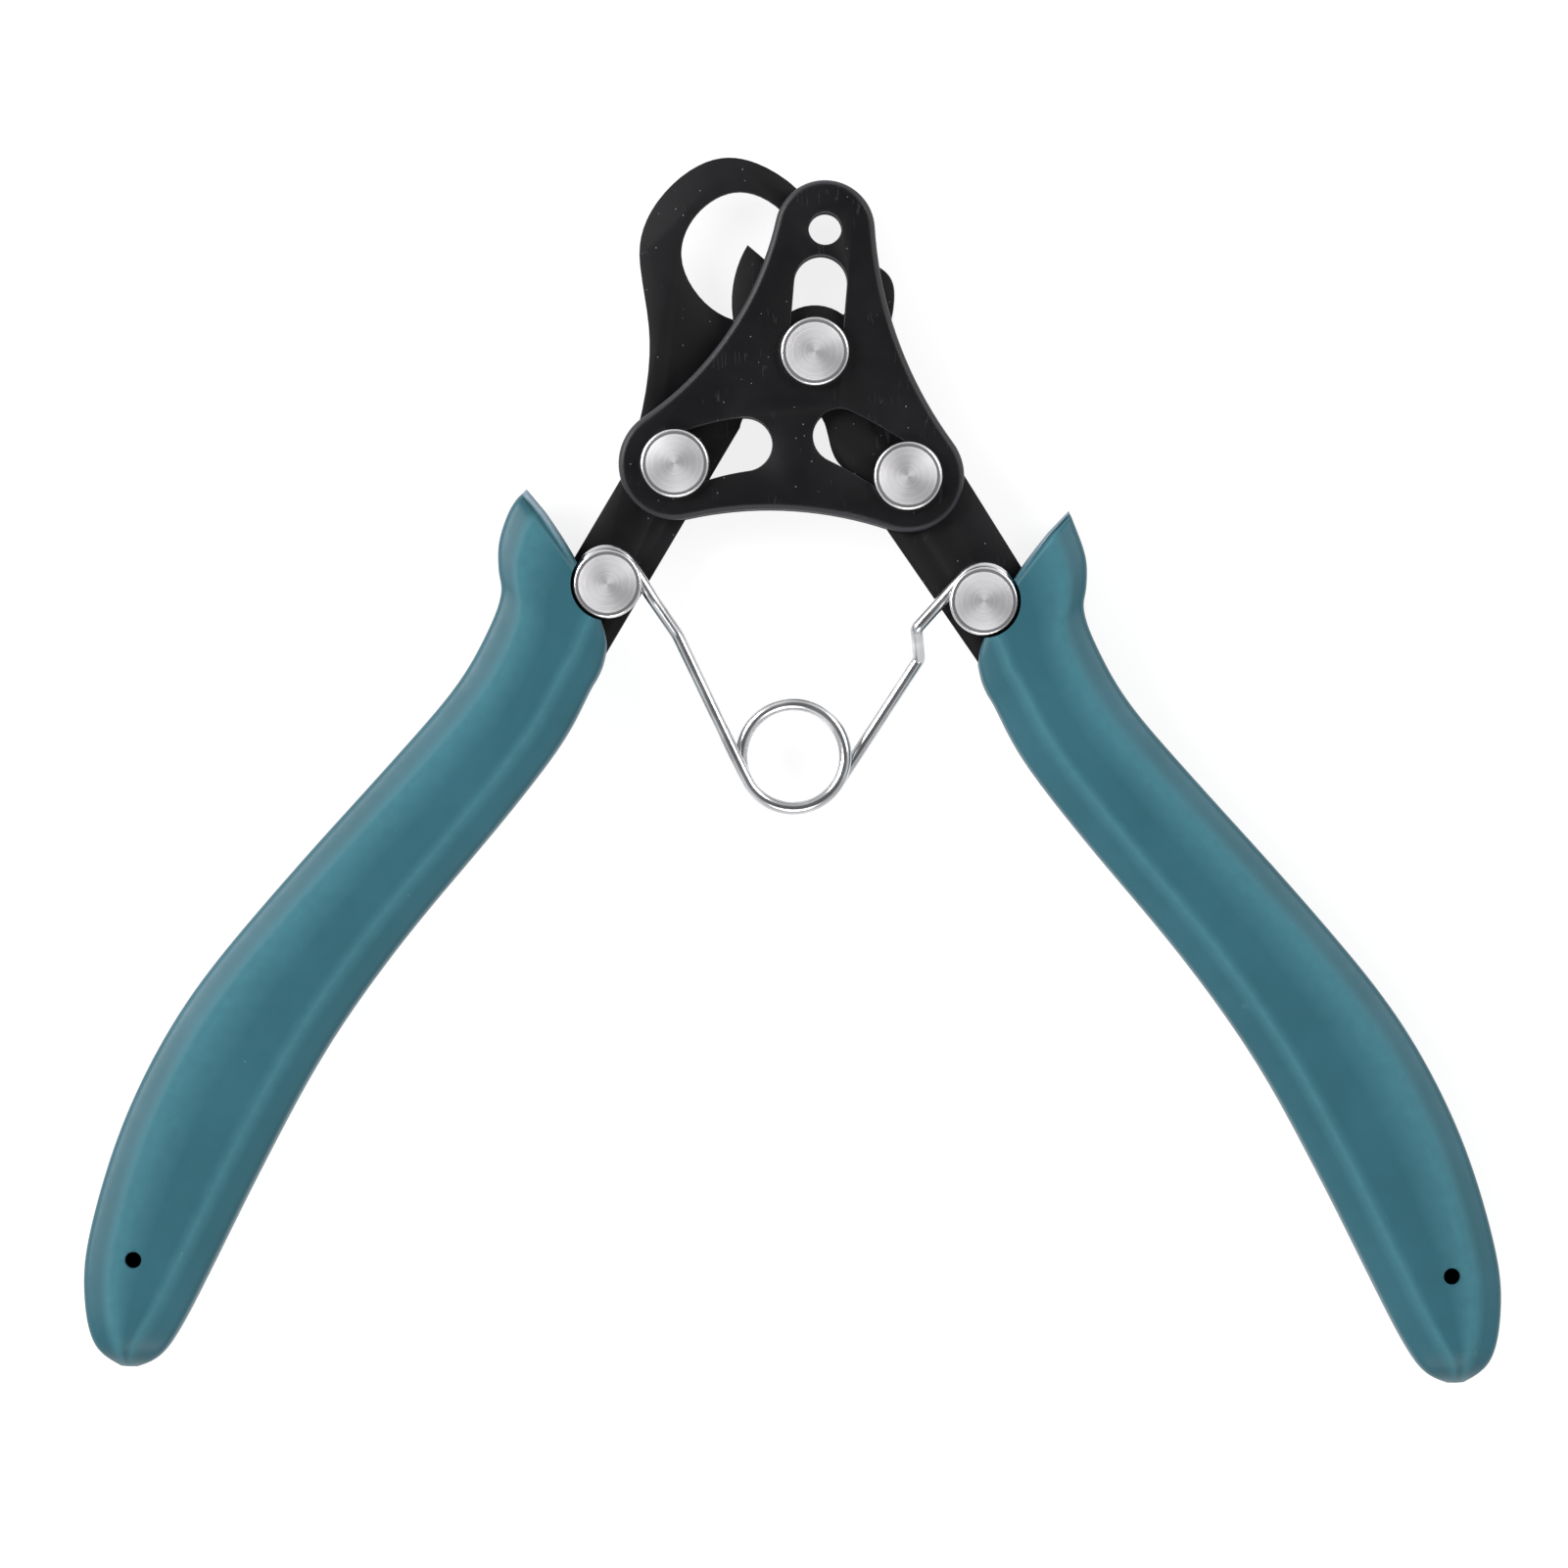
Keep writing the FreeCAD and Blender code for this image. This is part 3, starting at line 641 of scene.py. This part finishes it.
studio = {
    "floor": (0.2, 0.2, 0.202, 1), "glow": 0.84,
    "sky": (0.97, 0.985, 1.0, 1), "overhead": 0.16, "around": 0.8,
    # place round the tool in metres, size and power of each soft light
    "lights": [((-0.75, 0.35, 0.6), 0.7, 13.0), ((0.7, 0.45, 0.75), 0.6, 5.5),
               ((0.1, -0.9, 0.9), 0.8, 6.0)],
    "frameWidth": 0.2001, "frameMiddle": (-3.94, -55.25), "lens": 300.0,
}


def makeStudio():
    work = bmesh.new()
    bmesh.ops.create_grid(work, x_segments=1, y_segments=1, size=3.0)
    floor = closeMesh(work, "floor")
    material, shader, flow, at = startMaterial("pale_floor")
    feed(shader, flow, {
        "Base Color": studio["floor"], "Roughness": 0.9 + 0.02 * noise(at, 40.0),
        "Specular IOR Level": 0.1, "Emission Color": (1, 1, 1, 1), "Emission Strength": studio["glow"],
    })
    floor.data.materials.append(material)
    world = bpy.data.worlds.new("studio")
    world.use_nodes = True
    backdrop = world.node_tree.nodes["Background"]
    backdrop.inputs["Color"].default_value = studio["sky"]
    sky = Flow(world.node_tree)
    rise = sky.node("SeparateXYZ", None, {"Vector": sky.node("TexCoord")}).other(2)
    # darker straight overhead, so that flat steel stays black and its rounded rims catch the light
    strength = studio["around"] + (studio["overhead"] - studio["around"]) * fade(rise, 0.55, 0.93)
    world.node_tree.links.new(strength.socket, backdrop.inputs["Strength"])
    bpy.context.scene.world = world
    aim = place(*studio["frameMiddle"])
    for i, (spot, size, power) in enumerate(studio["lights"]):
        light = bpy.data.lights.new("soft_light_%d" % i, "AREA")
        light.shape = "DISK"
        light.size = size
        light.energy = power
        lamp = makeObject(light.name, light)
        lamp.location = spot
        lamp.rotation_euler = (aim - lamp.location).to_track_quat("-Z", "Y").to_euler()
    lens = bpy.data.cameras.new("camera")
    lens.lens = studio["lens"]
    camera = makeObject("camera", lens)
    height = studio["frameWidth"] * lens.lens / lens.sensor_width
    camera.location = (aim.x, aim.y, gripHigh.z + height)
    lens.clip_end = 20.0
    scene = bpy.context.scene
    scene.camera = camera
    scene.view_settings.view_transform = "Standard"


makeStudio()
print("studio ready")
